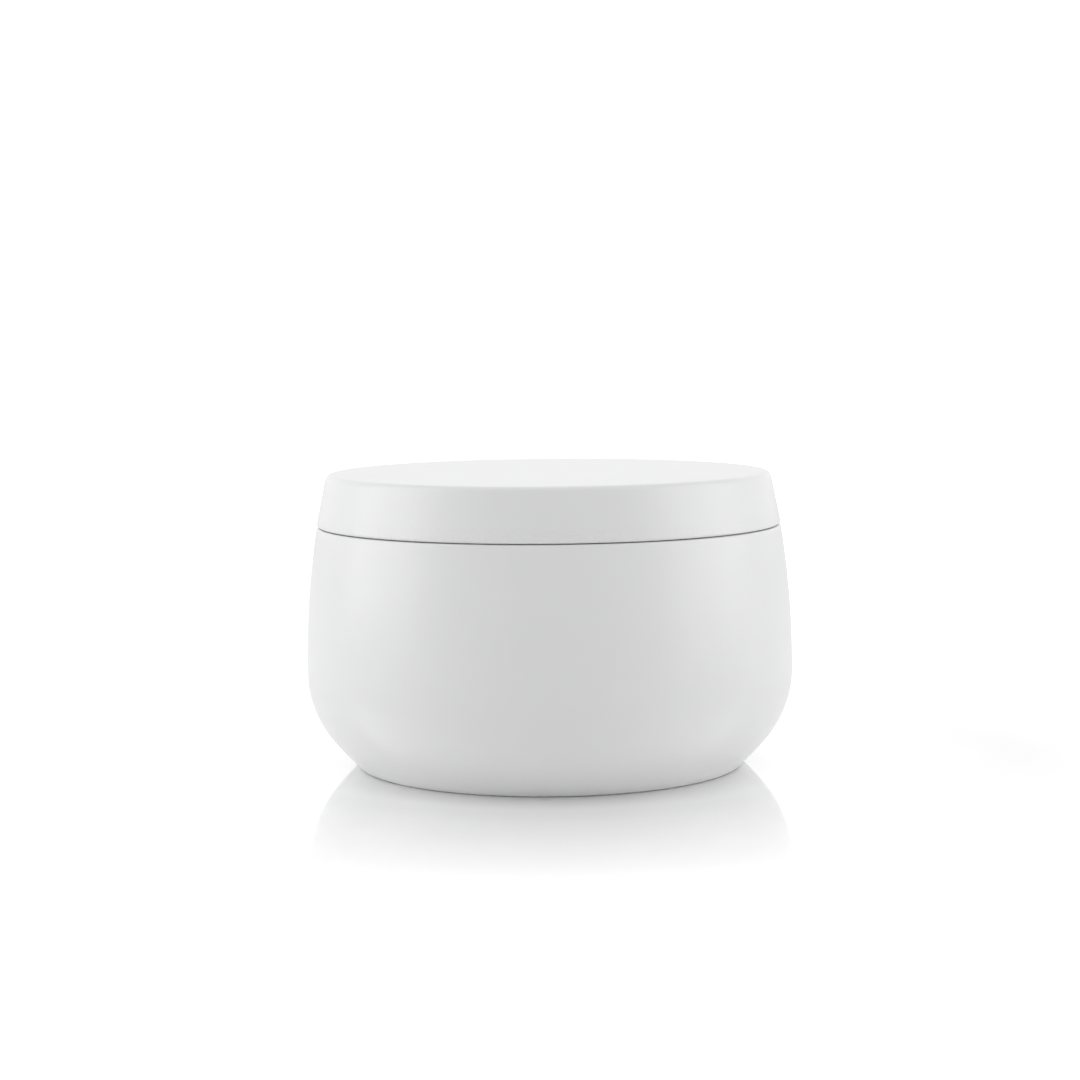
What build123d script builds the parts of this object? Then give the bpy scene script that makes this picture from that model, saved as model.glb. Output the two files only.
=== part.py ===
"""Candle tin with a slip lid and the candle poured in it, in millimetres.

The tin is a bowl drawn from one sheet of coated tinplate: a raised base panel, a flat foot
ring, a rounded heel, a belly, a small shoulder and a leaning neck with an inward curl. The
lid is a second drawn sheet with a tapered skirt and a folded hem that stops at the shoulder.
The candle inside is a soy wax fill, a braided wick, its crimped metal tab and the foam
sticker that holds the tab to the base.

The origin is the middle of the foot ring on the table, and +Z is up.
"""

import os
from math import asin, atan2, cos, degrees, hypot, radians, sin, sqrt, tan

from build123d import *

# Closed tin, outside
TIN_HEIGHT = 50.8
BELLY_RADIUS = 42.2
BELLY_HEIGHT = 16.9
BOWL_ARC = 18.8  # radius of the curve below the belly
FOOT_RADIUS = 33.35  # where the slope under that curve would meet the table
SHOULDER_RADIUS = 40.2
SHOULDER_HEIGHT = 41.7

# Sheet
PLATE = 0.3  # tinplate with its coating
HEEL_BEND = 1.2
SHOULDER_BEND = 0.4

# Base panel, raised off the table inside the foot ring
PANEL_RADIUS = 29.2
PANEL_RISE = 0.8
PANEL_BEND = 1.0

# Neck
NECK_FOOT_RADIUS = 39.0
NECK_LEAN = 7.0  # degrees from vertical
NECK_ROOT_BEND = 0.4
RIM_HEIGHT = 50.35  # the lid seats on the rim, with a hair of play
CURL_RADIUS = 0.75
CURL_TURN = 250

# Lid
SEAM_GAP = 0.15  # between the lid's hem and the shoulder
LID_RADIUS = 40.16
LID_TAPER = 11.6  # degrees from vertical
CROWN_BEND = 1.2
HEM_RADIUS = 0.36  # the hem is folded almost flat
HEM_RETURN = 1.2

# Candle
WAX_LEVEL = 37.6
WAX_GAP = 0.08  # the wax shrinks off the wall by this much as it cools
MENISCUS_RISE = 1.0
MENISCUS_RUN = 3.4
STICKER_RADIUS = 9.0
STICKER_THICKNESS = 0.8
TAB_RADIUS = 10.0
TAB_PLATE = 0.3
TAB_EDGE_ROUND = 0.1
COLLAR_FOOT_RADIUS = 3.2
COLLAR_FOOT_HEIGHT = 1.8
COLLAR_HEIGHT = 6.0
COLLAR_WALL = 0.3
WICK_WIDTH = 2.6
WICK_THICKNESS = 1.4
WICK_ABOVE_WAX = 7.0
WICK_LEAN_RADIUS = 45.0
WICK_LEAN_LENGTH = 9.0

# The slope above the heel runs from the foot radius to where it touches the bowl's curve
arc_run = BELLY_RADIUS - BOWL_ARC - FOOT_RADIUS
slope_length = sqrt(hypot(arc_run, BELLY_HEIGHT) ** 2 - BOWL_ARC**2)
SLOPE = degrees(atan2(BELLY_HEIGHT, arc_run) - atan2(BOWL_ARC, slope_length))
heel_cut = HEEL_BEND * tan(radians(SLOPE) / 2)
heel_x = FOOT_RADIUS - heel_cut

# The arc above the belly is vertical there and passes through the shoulder
side_run = BELLY_RADIUS - SHOULDER_RADIUS
side_rise = SHOULDER_HEIGHT - BELLY_HEIGHT
SIDE_ARC = (side_run**2 + side_rise**2) / (2 * side_run)

# Where the shoulder's bend leaves the side arc: both share a normal there
shoulder_out = sqrt((SIDE_ARC - SHOULDER_BEND) ** 2 - (side_rise - SHOULDER_BEND) ** 2)
shoulder_normal = degrees(atan2(side_rise - SHOULDER_BEND, shoulder_out))
panel_turn = degrees(asin(sqrt(1 - (1 - PANEL_RISE / (2 * PANEL_BEND)) ** 2)))


def bowl_line(inset, side_turn):
    """The bowl's half section from the axis to the end of its side arc.

    inset is how far inside the outer surface the line runs, and side_turn the angle in degrees
    that the side arc covers above the belly. Returns the line's last edge.
    """
    panel_z = PANEL_RISE + inset
    panel = Line((0, panel_z), (PANEL_RADIUS, panel_z))
    step_out = JernArc(panel @ 1, panel % 1, PANEL_BEND + inset, -panel_turn)
    step_in = JernArc(step_out @ 1, step_out % 1, PANEL_BEND - inset, panel_turn)
    foot = Line(step_in @ 1, (heel_x, inset))
    heel = JernArc(foot @ 1, foot % 1, HEEL_BEND - inset, SLOPE)
    slope = PolarLine(heel @ 1, slope_length - heel_cut, SLOPE)
    bowl = JernArc(slope @ 1, slope % 1, BOWL_ARC - inset, 90 - SLOPE)
    return JernArc(bowl @ 1, bowl % 1, SIDE_ARC - inset, side_turn)


# Tin body: the bowl, the shoulder, the neck and its inward curl, all one sheet
lean_share = 1 - sin(radians(NECK_LEAN))
neck_rise = RIM_HEIGHT - SHOULDER_HEIGHT - (CURL_RADIUS + NECK_ROOT_BEND) * lean_share
with BuildPart() as tin_body:
    with BuildSketch(Plane.XZ):
        with BuildLine() as body_line:
            side = bowl_line(0, shoulder_normal)
            shoulder = JernArc(side @ 1, side % 1, SHOULDER_BEND, 90 - shoulder_normal)
            ledge = Line(shoulder @ 1, (NECK_FOOT_RADIUS + NECK_ROOT_BEND, SHOULDER_HEIGHT))
            neck_root = JernArc(ledge @ 1, ledge % 1, NECK_ROOT_BEND, NECK_LEAN - 90)
            neck = PolarLine(neck_root @ 1, neck_rise / cos(radians(NECK_LEAN)), 90 + NECK_LEAN)
            JernArc(neck @ 1, neck % 1, CURL_RADIUS, CURL_TURN)
            offset(amount=PLATE, side=Side.RIGHT)
        make_face()
    revolve(axis=Axis.Z)
tin_body.part.label = "tin_body"

# Lid: flat top, rounded crown, tapered skirt and a hem folded inwards, all one sheet
hem_z = SHOULDER_HEIGHT + SEAM_GAP + HEM_RADIUS
crown_rise = TIN_HEIGHT - CROWN_BEND - hem_z
taper = radians(LID_TAPER)
hem_x = LID_RADIUS - HEM_RADIUS
crown_x = hem_x + (HEM_RADIUS - CROWN_BEND - crown_rise * sin(taper)) / cos(taper)

with BuildPart() as lid:
    with BuildSketch(Plane.XZ):
        with BuildLine() as lid_line:
            top = Line((0, TIN_HEIGHT), (crown_x, TIN_HEIGHT))
            crown = JernArc(top @ 1, top % 1, CROWN_BEND, LID_TAPER - 90)
            skirt_end = (hem_x + HEM_RADIUS * cos(taper), hem_z + HEM_RADIUS * sin(taper))
            skirt = Line(crown @ 1, skirt_end)
            fold = JernArc(skirt @ 1, skirt % 1, HEM_RADIUS, -180)
            Line(fold @ 1, fold @ 1 + HEM_RETURN * (fold % 1))
            offset(amount=PLATE, side=Side.RIGHT)
        make_face()
    revolve(axis=Axis.Z)
lid.part.label = "lid"

# Wick sticker: double-sided foam disc on the base panel
sticker_z = PANEL_RISE + PLATE
with BuildPart() as wick_sticker:
    with BuildSketch(Plane.XY.offset(sticker_z)):
        Circle(STICKER_RADIUS)
    extrude(amount=STICKER_THICKNESS)
wick_sticker.part.label = "wick_sticker"

# Wick tab: a stamped disc whose flared middle narrows to a collar crimped on the wick
tab_z = sticker_z + STICKER_THICKNESS
collar_length = WICK_WIDTH + 2 * COLLAR_WALL
collar_width = WICK_THICKNESS + 2 * COLLAR_WALL
with BuildPart() as wick_tab:
    with BuildSketch(Plane.XY.offset(tab_z)):
        Circle(TAB_RADIUS)
    extrude(amount=TAB_PLATE)
    fillet(wick_tab.edges().filter_by(GeomType.CIRCLE), TAB_EDGE_ROUND)
    with BuildSketch(Plane.XY.offset(tab_z + TAB_PLATE)):
        Circle(COLLAR_FOOT_RADIUS)
    with BuildSketch(Plane.XY.offset(tab_z + COLLAR_FOOT_HEIGHT)):
        SlotOverall(collar_length, collar_width)
    loft()
    with BuildSketch(Plane.XY.offset(tab_z + COLLAR_FOOT_HEIGHT)):
        SlotOverall(collar_length, collar_width)
    extrude(amount=COLLAR_HEIGHT - COLLAR_FOOT_HEIGHT)
    with BuildSketch(Plane.XY.offset(tab_z)):
        SlotOverall(WICK_WIDTH, WICK_THICKNESS)
    extrude(amount=COLLAR_HEIGHT, mode=Mode.SUBTRACT)
wick_tab.part.label = "wick_tab"

# Wick: flat braid, upright through the wax, with a slight lean where it stands free
wick_length = WAX_LEVEL + WICK_ABOVE_WAX - tab_z
lean_turn = degrees(WICK_LEAN_LENGTH / WICK_LEAN_RADIUS)
with BuildPart() as wick:
    with BuildLine(Plane.XZ):
        upright = Line((0, tab_z), (0, tab_z + wick_length - WICK_LEAN_LENGTH))
        JernArc(upright @ 1, upright % 1, WICK_LEAN_RADIUS, -lean_turn)
    with BuildSketch(Plane.XY.offset(tab_z)):
        SlotOverall(WICK_WIDTH, WICK_THICKNESS)
    sweep()
wick.part.label = "wick"

# Wax: fills the bowl to its level, climbs a little at the wall, and surrounds the wick's foot
wax_inset = PLATE + WAX_GAP
wax_side_turn = degrees(asin((WAX_LEVEL + MENISCUS_RISE - BELLY_HEIGHT) / (SIDE_ARC - wax_inset)))
with BuildPart() as wax:
    with BuildSketch(Plane.XZ):
        with BuildLine():
            wall = bowl_line(wax_inset, wax_side_turn)
            meniscus_start = ((wall @ 1).X - MENISCUS_RUN, WAX_LEVEL)
            TangentArc(meniscus_start, wall @ 1, tangent=(1, 0))
            Polyline(meniscus_start, (0, WAX_LEVEL), (0, PANEL_RISE + wax_inset))
        make_face()
    revolve(axis=Axis.Z)
    for embedded in (wick_sticker, wick_tab, wick):
        add(embedded.part, mode=Mode.SUBTRACT)
wax.part.label = "wax"

os.makedirs("parts", exist_ok=True)
for piece in (tin_body, lid, wax, wick, wick_tab, wick_sticker):
    export_step(piece.part, f"parts/{piece.part.label}.step")
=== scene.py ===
"""Slip-lid candle tin: fine surfaces, finishes and studio, laid out as a Blender add-on.

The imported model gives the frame, and each operator makes one piece, or a group of like pieces,
in that frame. Lengths are in metres, +Z is up, and the tin stands on the plane Z = 0.
"""

from math import asin, atan2, cos, hypot, pi, radians, sin, sqrt, tan

import bpy
import numpy as np
from bpy.props import FloatProperty, FloatVectorProperty, PointerProperty
from mathutils import Matrix, Vector


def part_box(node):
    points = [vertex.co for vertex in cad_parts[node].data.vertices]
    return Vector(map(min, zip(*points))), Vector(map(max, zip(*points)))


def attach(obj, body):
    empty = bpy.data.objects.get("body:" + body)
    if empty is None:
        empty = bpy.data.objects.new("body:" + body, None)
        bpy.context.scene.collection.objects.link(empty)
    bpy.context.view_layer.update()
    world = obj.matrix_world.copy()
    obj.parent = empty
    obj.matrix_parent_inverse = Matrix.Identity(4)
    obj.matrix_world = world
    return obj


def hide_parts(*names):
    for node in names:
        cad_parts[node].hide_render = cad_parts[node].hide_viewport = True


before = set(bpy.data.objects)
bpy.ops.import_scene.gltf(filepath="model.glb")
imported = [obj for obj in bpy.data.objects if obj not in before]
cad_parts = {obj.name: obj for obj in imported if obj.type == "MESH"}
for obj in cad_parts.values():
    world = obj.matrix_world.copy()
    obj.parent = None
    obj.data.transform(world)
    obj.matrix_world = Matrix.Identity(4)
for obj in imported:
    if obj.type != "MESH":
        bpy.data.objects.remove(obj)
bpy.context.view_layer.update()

bl_info = {
    "name": "Candle Tin",
    "version": (1, 0, 0),
    "blender": (4, 5, 0),
    "location": "View3D > Sidebar > Candle Tin",
    "description": "Makes a slip-lid candle tin with its poured candle, finishes and studio",
    "category": "Add Mesh",
}

MM = 0.001


# Sizes and colours that a user may change


def number(name, description, default, **settings):
    """A number with its name, its description and its default."""
    return FloatProperty(name=name, description=description, default=default, **settings)


def length(name, description, default):
    """A length in metres, shown in the scene's own unit."""
    shown = {"precision": 5, "subtype": "DISTANCE", "unit": "LENGTH"}
    return number(name, description, default, min=0.0, **shown)


def turn(name, description, default):
    """An angle, kept in radians and shown in degrees. default is in degrees."""
    return number(name, description, radians(default), subtype="ANGLE", unit="ROTATION")


def colour(name, description, default):
    """A linear colour with three channels."""
    return FloatVectorProperty(
        name=name,
        description=description,
        default=default,
        min=0.0,
        max=1.0,
        size=3,
        subtype="COLOR",
    )


def share(name, description, default, high=1.0):
    """A plain number from 0 to high."""
    return number(name, description, default, min=0.0, max=high, subtype="FACTOR")


def watts(name, description, default):
    """The power of a lamp."""
    return number(name, description, default, min=0.0, unit="POWER")


BODY_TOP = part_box("tin_body")[1]
LID_FOOT, LID_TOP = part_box("lid")
WAX_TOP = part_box("wax")[1]
TAB_FOOT, TAB_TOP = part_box("wick_tab")
STICKER_FOOT, STICKER_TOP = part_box("wick_sticker")
WICK_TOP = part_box("wick")[1]
PLATE = STICKER_FOOT.z - 0.8 * MM  # the sticker lies on the panel, which is raised 0.8 mm


class CandleTinBody(bpy.types.PropertyGroup):
    plate: length("Plate", "Thickness of the tinplate with its coating", PLATE)
    belly_radius: length("Belly Radius", "Largest radius of the bowl", BODY_TOP.x)
    belly_height: length("Belly Height", "Height of the largest radius", 16.9 * MM)
    bowl_arc: length("Bowl Arc", "Radius of the curve below the belly", 18.8 * MM)
    foot_radius: length("Foot Radius", "Where the slope below that curve meets the table", 33.35 * MM)
    heel_bend: length("Heel Bend", "Radius between the foot ring and the bowl", 1.2 * MM)
    panel_radius: length("Panel Radius", "Flat part of the raised base panel", 29.2 * MM)
    panel_rise: length("Panel Rise", "How far the base panel stands off the table", 0.8 * MM)
    panel_bend: length("Panel Bend", "Radius of the step round the base panel", 1.0 * MM)
    shoulder_radius: length("Shoulder Radius", "Bowl radius at the shoulder", 40.2 * MM)
    shoulder_height: length("Shoulder Height", "Height of the shoulder's ledge", 41.7 * MM)
    shoulder_bend: length("Shoulder Bend", "Radius of the shoulder's edge", 0.4 * MM)
    neck_foot_radius: length("Neck Foot Radius", "Outside of the neck at the ledge", 39.0 * MM)
    neck_lean: turn("Neck Lean", "Lean of the neck from upright", 7.0)
    neck_root_bend: length("Neck Root Bend", "Radius between ledge and neck", 0.4 * MM)
    rim_height: length("Rim Height", "Top of the neck's curl", BODY_TOP.z)
    curl_radius: length("Curl Radius", "Outside radius of the inward curl", 0.75 * MM)
    curl_turn: turn("Curl Turn", "How far the rim is curled inwards", 250)


class CandleTinLid(bpy.types.PropertyGroup):
    plate: length("Plate", "Thickness of the tinplate with its coating", PLATE)
    radius: length("Radius", "Largest radius of the lid, at its hem", LID_TOP.x)
    top: length("Top", "Height of the lid's flat top when it is on", LID_TOP.z)
    foot: length("Foot", "Height of the hem's underside when it is on", LID_FOOT.z)
    taper: turn("Taper", "Lean of the skirt from upright", 11.6)
    crown_bend: length("Crown Bend", "Radius of the lid's top edge", 1.2 * MM)
    hem_radius: length("Hem Radius", "Outside radius of the folded hem", 0.36 * MM)
    hem_return: length("Hem Return", "How far the folded sheet runs back up", 1.2 * MM)


class CandleTinCandle(bpy.types.PropertyGroup):
    wall_gap: length("Wall Gap", "Shrinkage gap between the wax and the tin", 0.08 * MM)
    meniscus_rise: length("Meniscus Rise", "How far the wax climbs the wall", 1.0 * MM)
    meniscus_run: length("Meniscus Run", "How far in the wax starts to climb", 3.4 * MM)
    wick_climb: length("Wick Climb", "How far the wax climbs the wick", 0.45 * MM)
    sink: length("Sink", "How far the wax has sunk round the wick as it set", 0.18 * MM)
    wick_width: length("Wick Width", "Width of the flat braid", 2.6 * MM)
    wick_thickness: length("Wick Thickness", "Thickness of the flat braid", 1.4 * MM)
    braid_pitch: length("Braid Pitch", "Length in which a strand comes back to its place", 5.4 * MM)
    lean_radius: length("Lean Radius", "Bend radius of the wick's free end", 45.0 * MM)
    lean_length: length("Lean Length", "Length of wick that leans", 9.0 * MM)
    collar_wall: length("Collar Wall", "Sheet thickness of the tab's collar", 0.3 * MM)
    collar_foot_radius: length("Collar Foot", "Radius of the flare on the tab", 3.2 * MM)
    collar_foot_height: length("Flare Height", "Height of the flare above the sticker", 1.8 * MM)


class CandleTinFinish(bpy.types.PropertyGroup):
    coat: colour("White Coat", "Baked satin coating of the body and lid", (0.755, 0.757, 0.76))
    tinplate: colour("Tinplate", "Bare and clear-lacquered tin", (0.66, 0.655, 0.64))
    wax: colour("Wax", "Undyed soy wax", (0.9, 0.835, 0.69))
    cotton: colour("Cotton", "Waxed cotton of the wick", (0.86, 0.81, 0.69))
    foam: colour("Foam", "Adhesive foam of the sticker", (0.86, 0.86, 0.84))
    coat_roughness: share("Coat Roughness", "Satin of the white coating", 0.3)
    peel: share("Peel", "Strength of the coating's fine orange peel", 0.04)


class CandleTinStudio(bpy.types.PropertyGroup):
    lens: number("Lens", "Focal length", 82.593, subtype="DISTANCE_CAMERA", unit="CAMERA")
    camera_distance: length("Camera Distance", "From the tin's axis to the camera", 429.52 * MM)
    camera_height: length("Camera Height", "Of the lens above the floor", 78.33 * MM)
    camera_side: length("Camera Side", "How far left of the tin's axis the lens is", 1.51 * MM)
    camera_pitch: turn("Camera Pitch", "Downward tilt", 5.255)
    camera_roll: turn("Camera Roll", "Clockwise lean", 0.527)
    floor_size: length("Floor Size", "Width of the pale floor", 8.0)
    floor_colour: colour("Floor Colour", "Pale floor", (0.92, 0.92, 0.92))
    near_glow: share("Near Glow", "Glow of the floor a little way out from the tin's foot", 0.09)
    far_glow: share("Far Glow", "Added glow of the floor far from the tin", 0.42)
    mirror: share("Mirror", "Polish of the floor close to the tin", 0.72)
    mirror_near: length("Mirror Near", "Radius where the polish starts to fade", 45 * MM)
    mirror_far: length("Mirror Far", "Radius where the polish ends", 103 * MM)
    left_power: watts("Left Power", "Of the softbox on the left", 3.5)
    right_power: watts("Right Power", "Of the softbox on the right", 3.1)
    tent: share("Tent", "Brightness of the pale tent all round", 0.433, 5.0)
    tent_top: share("Tent Top", "Added brightness of the tent overhead", 0.315, 5.0)
    tent_back: share("Tent Back", "Added brightness of the backdrop, low behind the tin", 0.95, 5.0)
    tent_fall: share("Tent Fall", "Share of the backdrop's brightness left high up", 0.45)


# Profiles: a line in the half plane of radius and height


LONGEST_STEP = 1.6 * MM  # along a profile
BEND_STEP = radians(9)
FEWEST_BEND_STEPS = 6


def walk(start, moves):
    """Follow straight runs and tangent bends, starting outwards along the radius.

    Each move is (length, 0) for a straight run or (radius, turn) for a bend, with the turn in
    radians and positive to the left. A run is start + t * heading. A bend of radius R turns
    about a centre on its own side, so its points are centre - side * R * left(heading), where
    left is the heading turned by a quarter. Returns the points, the left normal at each, and
    the number of the move that each belongs to.
    """
    place, heading = np.array(start, float), 0.0
    points, normals, numbers = [], [], []
    for number, (size, bend) in enumerate(moves):
        if bend:
            steps = max(abs(bend) / BEND_STEP, size * abs(bend) / LONGEST_STEP)
            count = max(FEWEST_BEND_STEPS, int(np.ceil(steps)))
            angles = heading + bend * np.arange(count) / count
            left = np.stack([-np.sin(angles), np.cos(angles)], 1)
            side = np.sign(bend)
            centre = place + side * size * np.array([-sin(heading), cos(heading)])
            points.append(centre - side * size * left)
            heading += bend
            place = centre - side * size * np.array([-sin(heading), cos(heading)])
        else:
            count = max(2, int(np.ceil(size / LONGEST_STEP)))
            along = np.array([cos(heading), sin(heading)])
            points.append(place + np.outer(size * np.arange(count) / count, along))
            left = np.tile([-sin(heading), cos(heading)], (count, 1))
            place = place + size * along
        normals.append(left)
        numbers.append(np.full(count, number))
    points.append(place[None])
    normals.append([[-sin(heading), cos(heading)]])
    numbers.append([len(moves) - 1])
    return np.concatenate(points), np.concatenate(normals), np.concatenate(numbers)


def sheet_loop(line, left, plate, sheet_side):
    """The closed section of a sheet drawn along a line, with the solid on its left.

    sheet_side is 1 where the sheet lies left of the line and -1 where it lies right. The second
    surface is the line moved by the plate's thickness along its normals, and a half circle of
    the same thickness eases the cut edge. Returns the points, and for each the index of the
    line's point that it came from.
    """
    near = line if sheet_side > 0 else line - plate * left
    far = near + plate * left
    index = np.arange(len(line))
    ahead = np.array([left[-1, 1], -left[-1, 0]])
    sweep = np.linspace(-pi / 2, pi / 2, 7)[1:-1, None]
    middle = (near[-1] + far[-1]) / 2
    edge = middle + plate / 2 * (np.cos(sweep) * ahead + np.sin(sweep) * left[-1])
    loop = np.concatenate([near, edge, far[::-1]])
    source = np.concatenate([index, np.full(len(edge), -1), index[::-1]])
    return loop, source


def bowl_moves(p, side_turn=None):
    """Moves from the axis to the end of the bowl's side arc.

    The bowl is upright at the belly. Below, an arc runs into a straight slope that would meet
    the table at the foot radius, and a heel bend joins the slope to the flat foot ring. The
    slope touches the arc: its length is sqrt(d^2 - arc^2), where d is the distance from the
    foot to the arc's centre. Above, a side arc passes through the shoulder. side_turn gives the
    angle that the side arc covers from its radius, and without it the arc ends at the bend of
    the shoulder.
    """
    arc_run = p.belly_radius - p.bowl_arc - p.foot_radius
    slope_length = sqrt(hypot(arc_run, p.belly_height) ** 2 - p.bowl_arc**2)
    slope = atan2(p.belly_height, arc_run) - atan2(p.bowl_arc, slope_length)
    heel_cut = p.heel_bend * tan(slope / 2)
    run = p.belly_radius - p.shoulder_radius
    rise = p.shoulder_height - p.belly_height
    side = (run**2 + rise**2) / (2 * run)
    step = asin(sqrt(1 - (1 - p.panel_rise / (2 * p.panel_bend)) ** 2))
    foot_run = p.foot_radius - heel_cut - p.panel_radius - 2 * p.panel_bend * sin(step)
    return [
        (p.panel_radius, 0),
        (p.panel_bend, -step),
        (p.panel_bend, step),
        (foot_run, 0),
        (p.heel_bend, slope),
        (slope_length - heel_cut, 0),
        (p.bowl_arc, pi / 2 - slope),
        (side, shoulder_place(p, side)[1] if side_turn is None else side_turn(side)),
    ]


def shoulder_place(p, side):
    """Where the shoulder's small bend sits inside the side arc.

    Returns the bend centre's distance from the axis, and the angle between the horizontal and
    the shared normal: the centre lies side - bend from the arc's own centre.
    """
    rise = p.shoulder_height - p.belly_height - p.shoulder_bend
    out = sqrt((side - p.shoulder_bend) ** 2 - rise**2)
    return p.belly_radius - side + out, atan2(rise, out)


def body_line(p):
    """The outside of the body's sheet, from the middle of the base to the end of the curl."""
    moves = bowl_moves(p)
    side = moves[-1][0]
    shoulder_x, shoulder = shoulder_place(p, side)
    bends_rise = (p.curl_radius + p.neck_root_bend) * (1 - sin(p.neck_lean))
    rise = p.rim_height - p.shoulder_height - bends_rise
    moves += [
        (p.shoulder_bend, pi / 2 - shoulder),
        (shoulder_x - p.neck_foot_radius - p.neck_root_bend, 0),
        (p.neck_root_bend, p.neck_lean - pi / 2),
        (rise / cos(p.neck_lean), 0),
        (p.curl_radius, p.curl_turn),
    ]
    return walk((0, p.panel_rise), moves)


def lid_line(p):
    """The outside of the lid's sheet, from the middle of its top to the end of its hem."""
    hem_x = p.radius - p.hem_radius
    hem_z = p.foot + p.hem_radius
    rise = p.top - p.crown_bend - hem_z
    crown_x = hem_x + (p.hem_radius - p.crown_bend - rise * sin(p.taper)) / cos(p.taper)
    skirt = (rise + (p.crown_bend - p.hem_radius) * sin(p.taper)) / cos(p.taper)
    moves = [
        (crown_x, 0),
        (p.crown_bend, p.taper - pi / 2),
        (skirt, 0),
        (p.hem_radius, -pi),
        (p.hem_return, 0),
    ]
    return walk((0, p.top), moves)


def softened(values, reach):
    """A running mean of a row of values, so that a mark has no hard end."""
    padded = np.pad(values, reach, mode="edge")
    return np.convolve(padded, np.full(2 * reach + 1, 1 / (2 * reach + 1)), mode="valid")


# Surfaces: a grid of points made into a closed mesh


def slot_radius(angle, half_length, half_width):
    """Polar radius of a slot outline: half_width / |sin a| on its flats, else on its end circle.

    The ends are circles of half_width, centred half_length - half_width from the middle, so
    equal halves give a plain circle.
    """
    reach = half_length - half_width
    along, across = np.abs(np.cos(angle)), np.abs(np.sin(angle))
    flat = half_width / np.maximum(across, 1e-9)
    end = reach * along + np.sqrt(np.maximum(half_width**2 - (reach * across) ** 2, 0))
    return np.where(flat * along <= reach, flat, end)


def rings(half_length, half_width, height, slices):
    """Rows of slot outlines, one for each height: (rho cos a, rho sin a, z)."""
    angle = np.arange(slices) * 2 * pi / slices
    rho = slot_radius(angle[None], half_length[:, None], half_width[:, None])
    tall = np.broadcast_to(height[:, None], rho.shape)
    return np.stack([rho * np.cos(angle), rho * np.sin(angle), tall], 2)


def lathe(loop, slices):
    """A profile turned about the Z axis: (r cos a, r sin a, z) with a going once round."""
    return rings(loop[:, 0], loop[:, 0], loop[:, 1], slices)


def grid_mesh(grid, closed):
    """Vertices and faces of a grid whose columns wrap round.

    Where closed is true its rows wrap round too, as on a ring. Otherwise its first and last
    rows are poles, and each becomes one vertex with a fan of triangles. Faces look out when the
    rows go anticlockwise round the solid. Returns the vertices, the faces, the row of each face
    and the row of each vertex.
    """
    rows, columns = grid.shape[:2]
    here = np.arange(columns)
    after = (here + 1) % columns

    def quads(low, high):
        """Quads between rows of vertices, from the number of each row's first vertex."""
        low, high = low[:, None], high[:, None]
        corners = np.stack([low + here, low + after, high + after, high + here], 2)
        return corners.reshape(-1, 4).tolist()

    if closed:
        start = np.arange(rows) * columns
        numbers = np.repeat(np.arange(rows), columns)
        return grid.reshape(-1, 3), quads(start, np.roll(start, -1)), numbers, numbers
    points = np.concatenate([grid[0, :1], grid[1:-1].reshape(-1, 3), grid[-1, :1]])
    last = len(points) - 1
    end = last - columns
    start = np.arange(rows - 3) * columns + 1
    first_fan = np.stack([np.zeros(columns, int), after + 1, here + 1], 1)
    last_fan = np.stack([end + here, end + after, np.full(columns, last)], 1)
    faces = first_fan.tolist() + quads(start, start + columns) + last_fan.tolist()
    face_rows = np.repeat(np.arange(rows - 1), columns)
    point_rows = np.concatenate([[0], np.repeat(np.arange(1, rows - 1), columns), [rows - 1]])
    return points, faces, face_rows, point_rows


def build_piece(name, points, faces, materials, face_materials=None, marks=None):
    """A smooth-shaded mesh object at the origin, with its materials and point attributes."""
    mesh = bpy.data.meshes.new(name)
    mesh.from_pydata(points.tolist(), [], faces)
    for material in materials:
        mesh.materials.append(material)
    if face_materials is not None:
        mesh.polygons.foreach_set("material_index", face_materials.astype(np.int32))
    mesh.polygons.foreach_set("use_smooth", np.ones(len(faces), bool))
    for mark, (kind, field, values) in (marks or {}).items():
        attribute = mesh.attributes.new(mark, kind, "POINT")
        attribute.data.foreach_set(field, values.astype(np.float32).ravel())
    mesh.update()
    if mesh.validate():
        raise RuntimeError(f"{name} has faces that Blender had to repair")
    piece = bpy.data.objects.new(name, mesh)
    bpy.context.scene.collection.objects.link(piece)
    return piece


def install(piece, body, node):
    """Let a piece ride on its body and stand for its CAD node, which it hides."""
    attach(piece, body)
    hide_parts(node)


# Shader building

FLOAT = "NodeSocketFloat"


def add(tree, kind, place, values=None, **settings):
    """A shader node of a kind, with its properties and unlinked inputs set."""
    new = tree.nodes.new(f"ShaderNode{kind}")
    new.location = place
    for name, value in settings.items():
        setattr(new, name, value)
    for name, value in (values or {}).items():
        new.inputs[name].default_value = value
    return new


def join(tree, *links):
    """Link nodes. Each link is (node, output, node, input), by socket name or number."""
    for source, output, target, entry in links:
        tree.links.new(source.outputs[output], target.inputs[entry])


def smooth_step(tree, source, place, low, high, start, end):
    """A value that eases from start to end while its source goes from low to high."""
    values = {"From Min": low, "From Max": high, "To Min": start, "To Max": end}
    eased = add(tree, "MapRange", place, values, interpolation_type="SMOOTHSTEP")
    join(tree, (*source, eased, "Value"))
    return eased


def new_group(name, inputs, output):
    """An empty shader node group of plain numbers: its inputs' defaults and its one output."""
    group = bpy.data.node_groups.new(name, "ShaderNodeTree")
    for title, default in inputs.items():
        made = group.interface.new_socket(title, in_out="INPUT", socket_type=FLOAT)
        made.default_value = default
    group.interface.new_socket(output, in_out="OUTPUT", socket_type=FLOAT)
    entry, result = group.nodes.new("NodeGroupInput"), group.nodes.new("NodeGroupOutput")
    entry.location, result.location = (-1100, 0), (700, 0)
    return group, entry, result


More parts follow.
